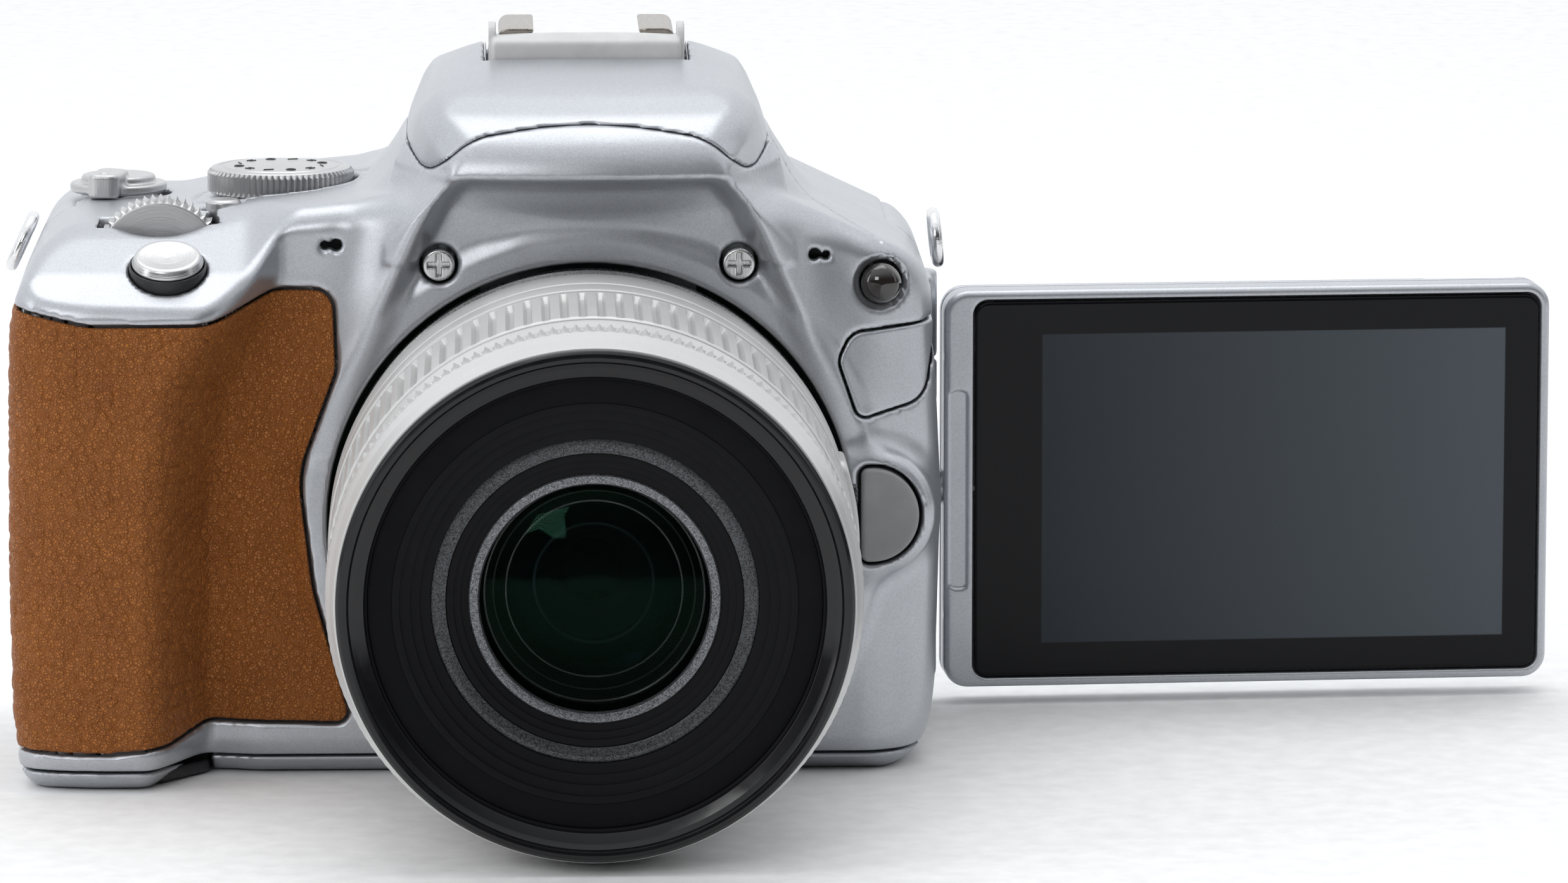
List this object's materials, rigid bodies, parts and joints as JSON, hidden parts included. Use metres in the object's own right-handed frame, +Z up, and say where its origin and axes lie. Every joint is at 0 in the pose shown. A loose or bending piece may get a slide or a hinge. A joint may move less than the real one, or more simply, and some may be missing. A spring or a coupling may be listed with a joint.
{
  "type": "dslr camera",
  "caption": "Single-lens reflex camera with a zoom lens, pop-up flash, hot shoe, grip and a screen that swings out and turns over.",
  "frame": {"origin": "on the base plane, below the optical axis, in the plane of the image sensor", "axes": "+Z up, -Y along the optical axis towards the subject, +X towards the side that the screen opens from"},
  "size_m": [0.2074, 0.1254, 0.0939],
  "materials": {
    "silver_paint": "silver metallic paint on plastic, satin",
    "black_plastic": "fine grained, matte",
    "grey_plastic": "moulded, matte",
    "lens_paint": "pearl paint on plastic, satin",
    "gloss_black": "polished",
    "grip_skin": "tan grained leatherette",
    "steel": "brushed",
    "chrome": "polished",
    "optical_glass": "coated, polished",
    "screen_glass": "smooth, dark",
    "flash_diffuser": "clear ribbed plastic",
    "mirror_coat": "front silvered",
    "rubber": "soft, matte",
    "circuit_board": "green lacquer"
  },
  "bodies": {
    "root": {"front_cover": "silver_paint", "rear_cover": "silver_paint", "top_cover": "silver_paint", "bottom_cover": "silver_paint", "mirror_box": "black_plastic", "shutter_unit": "black_plastic", "terminal_jacks": "black_plastic", "battery": "black_plastic", "memory_card": "black_plastic", "hot_shoe_base": "grey_plastic", "lamp_window": "gloss_black", "grip_leather": "grip_skin", "lens_mount_ring": "steel", "hot_shoe_rails": "steel", "front_screw_left": "steel", "front_screw_right": "steel", "tripod_socket": "steel", "strap_lug_left": "chrome", "strap_lug_right": "chrome", "eyepiece_lens": "optical_glass", "focusing_screen": "optical_glass", "sensor": "optical_glass", "pentamirror": "mirror_coat", "eyecup": "rubber", "main_board": "circuit_board"},
    "terminal_cover": {"terminal_cover": "silver_paint"},
    "lens_release_button": {"lens_release_button": "grey_plastic"},
    "shutter_button": {"shutter_button": "steel"},
    "main_dial": {"main_dial": "silver_paint"},
    "iso_button": {"iso_button": "silver_paint"},
    "power_switch": {"power_switch": "silver_paint"},
    "mode_dial": {"mode_dial": "silver_paint"},
    "flash_head": {"flash_head": "silver_paint", "flash_window": "flash_diffuser"},
    "screen_hinge": {"lcd_hinge_block": "silver_paint"},
    "screen": {"lcd_frame": "silver_paint", "lcd_glass": "screen_glass", "lcd_back": "silver_paint"},
    "battery_door": {"battery_door": "black_plastic"},
    "diopter_dial": {"diopter_dial": "black_plastic"},
    "menu_button": {"menu_button": "black_plastic"},
    "info_button": {"info_button": "black_plastic"},
    "live_view_button": {"live_view_button": "black_plastic"},
    "exposure_button": {"exposure_button": "black_plastic"},
    "playback_button": {"playback_button": "black_plastic"},
    "ae_lock_button": {"ae_lock_button": "black_plastic"},
    "cross_keys": {"cross_keys": "black_plastic"},
    "set_button": {"set_button": "black_plastic"},
    "mirror": {"mirror": "mirror_coat"},
    "lens": {"lens_bayonet": "steel", "lens_barrel": "lens_paint", "rear_lens": "optical_glass"},
    "zoom_ring": {"zoom_ring": "lens_paint"},
    "front_barrel": {"front_barrel": "lens_paint", "front_rim": "gloss_black", "front_element": "optical_glass", "iris": "black_plastic"},
    "focus_ring": {"focus_ring": "lens_paint"},
    "focus_mode_switch": {"focus_mode_switch": "black_plastic"},
    "stabilizer_switch": {"stabilizer_switch": "black_plastic"}
  },
  "joints": [
    {"name": "screen_swing", "type": "hinge", "parent": "root", "child": "screen_hinge", "pos_m": [0.0445, 0.01, 0.0295], "axis": [0, 0, 1], "range_deg": [-4, 176]},
    {"name": "screen_twist", "type": "hinge", "parent": "screen_hinge", "child": "screen", "pos_m": [0.0445, 0.01, 0.0295], "axis": [0.9976, 0.0698, 0], "range_deg": [-270, 0]},
    {"name": "flash_raise", "type": "hinge", "parent": "root", "child": "flash_head", "pos_m": [0, 0, 0.086], "axis": [-1, 0, 0], "range_deg": [0, 52]},
    {"name": "mirror_flip", "type": "hinge", "parent": "root", "child": "mirror", "pos_m": [0, -0.013, 0.045], "axis": [-1, 0, 0], "range_deg": [0, 45], "stiffness_Nm_per_rad": 0.004, "springref_deg": -17.19},
    {"name": "lens_turn", "type": "hinge", "parent": "root", "child": "lens", "pos_m": [0, -0.044, 0.0336], "axis": [0, -1, 0], "range_deg": [0, 60]},
    {"name": "zoom_turn", "type": "hinge", "parent": "lens", "child": "zoom_ring", "pos_m": [0, -0.075, 0.0336], "axis": [0, -1, 0], "range_deg": [0, 80]},
    {"name": "barrel_slide", "type": "slide", "parent": "lens", "child": "front_barrel", "axis": [0, -1, 0], "range_m": [0, 0.022]},
    {"name": "focus_turn", "type": "hinge", "parent": "front_barrel", "child": "focus_ring", "pos_m": [0, -0.092, 0.0336], "axis": [0, -1, 0], "continuous": true},
    {"name": "focus_mode_slide", "type": "slide", "parent": "lens", "child": "focus_mode_switch", "axis": [0, 0, 1], "range_m": [-0.003, 0]},
    {"name": "stabilizer_slide", "type": "slide", "parent": "lens", "child": "stabilizer_switch", "axis": [0, 0, 1], "range_m": [-0.003, 0]},
    {"name": "mode_dial_turn", "type": "hinge", "parent": "root", "child": "mode_dial", "pos_m": [-0.0402, -0.012, 0.075], "axis": [0, 0, 1], "continuous": true},
    {"name": "main_dial_turn", "type": "hinge", "parent": "root", "child": "main_dial", "pos_m": [-0.0554, -0.0301, 0.0662], "axis": [0, 1, 0], "continuous": true},
    {"name": "power_switch_turn", "type": "hinge", "parent": "root", "child": "power_switch", "pos_m": [-0.062, -0.001, 0.072], "axis": [0, 0, 1], "range_deg": [-20, 30]},
    {"name": "diopter_turn", "type": "hinge", "parent": "root", "child": "diopter_dial", "pos_m": [0.0214, 0.012, 0.077], "axis": [0, 1, 0], "range_deg": [-150, 150]},
    {"name": "shutter_press", "type": "slide", "parent": "root", "child": "shutter_button", "axis": [0, 0.361, -0.9326], "range_m": [0, 0.0012], "stiffness_N_per_m": 400},
    {"name": "iso_press", "type": "slide", "parent": "root", "child": "iso_button", "axis": [0, 0, -1], "range_m": [0, 0.0006], "stiffness_N_per_m": 400},
    {"name": "lens_release_press", "type": "slide", "parent": "root", "child": "lens_release_button", "axis": [0, 1, 0], "range_m": [0, 0.002], "stiffness_N_per_m": 400},
    {"name": "menu_press", "type": "slide", "parent": "root", "child": "menu_button", "axis": [0, -1, 0], "range_m": [0, 0.0007], "stiffness_N_per_m": 400},
    {"name": "info_press", "type": "slide", "parent": "root", "child": "info_button", "axis": [0, -1, 0], "range_m": [0, 0.0007], "stiffness_N_per_m": 400},
    {"name": "live_view_press", "type": "slide", "parent": "root", "child": "live_view_button", "axis": [0, -1, 0], "range_m": [0, 0.0007], "stiffness_N_per_m": 400},
    {"name": "exposure_press", "type": "slide", "parent": "root", "child": "exposure_button", "axis": [0, -1, 0], "range_m": [0, 0.0007], "stiffness_N_per_m": 400},
    {"name": "playback_press", "type": "slide", "parent": "root", "child": "playback_button", "axis": [0, -1, 0], "range_m": [0, 0.0007], "stiffness_N_per_m": 400},
    {"name": "ae_lock_press", "type": "slide", "parent": "root", "child": "ae_lock_button", "axis": [0, -1, 0], "range_m": [0, 0.0007], "stiffness_N_per_m": 400},
    {"name": "set_press", "type": "slide", "parent": "root", "child": "set_button", "axis": [0, -1, 0], "range_m": [0, 0.0007], "stiffness_N_per_m": 400},
    {"name": "cross_keys_rock", "type": "hinge", "parent": "root", "child": "cross_keys", "pos_m": [-0.0576, 0.0126, 0.0335], "axis": [1, 0, 0], "range_deg": [-3, 3], "stiffness_Nm_per_rad": 0.05},
    {"name": "terminal_cover_open", "type": "hinge", "parent": "root", "child": "terminal_cover", "pos_m": [0.0434, -0.03695, 0.0525], "axis": [0, 0, 1], "range_deg": [0, 95]},
    {"name": "battery_door_open", "type": "hinge", "parent": "root", "child": "battery_door", "pos_m": [-0.071, -0.0277, 0.00025], "axis": [0, 1, 0], "range_deg": [0, 100]}
  ],
  "couplings": [
    {"joint": "barrel_slide", "follows": "zoom_turn", "m_per_rad": 0.01575}
  ]
}
